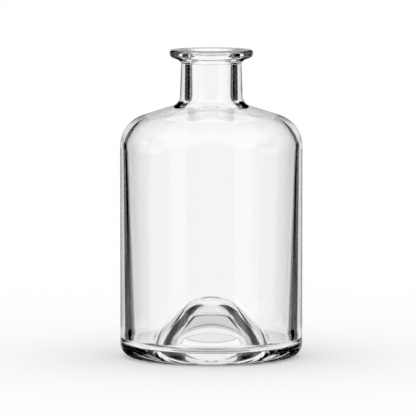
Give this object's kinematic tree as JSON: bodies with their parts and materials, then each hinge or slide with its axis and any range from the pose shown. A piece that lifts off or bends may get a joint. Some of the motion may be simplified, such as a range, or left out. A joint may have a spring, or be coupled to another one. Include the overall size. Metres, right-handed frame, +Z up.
{
  "type": "glass bottle",
  "caption": "Clear round glass bottle with a straight body, rounded shoulder, short neck, flared lip, thick heel and a tall punt, open at the mouth.",
  "frame": {"origin": "on the bottle's axis, in the plane of the ring that it stands on", "axes": "+Z up along the bottle's axis, from the base to the mouth; X and Y are any two level directions, since the bottle is round"},
  "size_m": [0.087, 0.087, 0.1467],
  "materials": {
    "clear_glass": "clear colourless flint glass, polished, with a slight moulding unevenness"
  },
  "bodies": {
    "root": {"bottle": "clear_glass"}
  },
  "joints": []
}
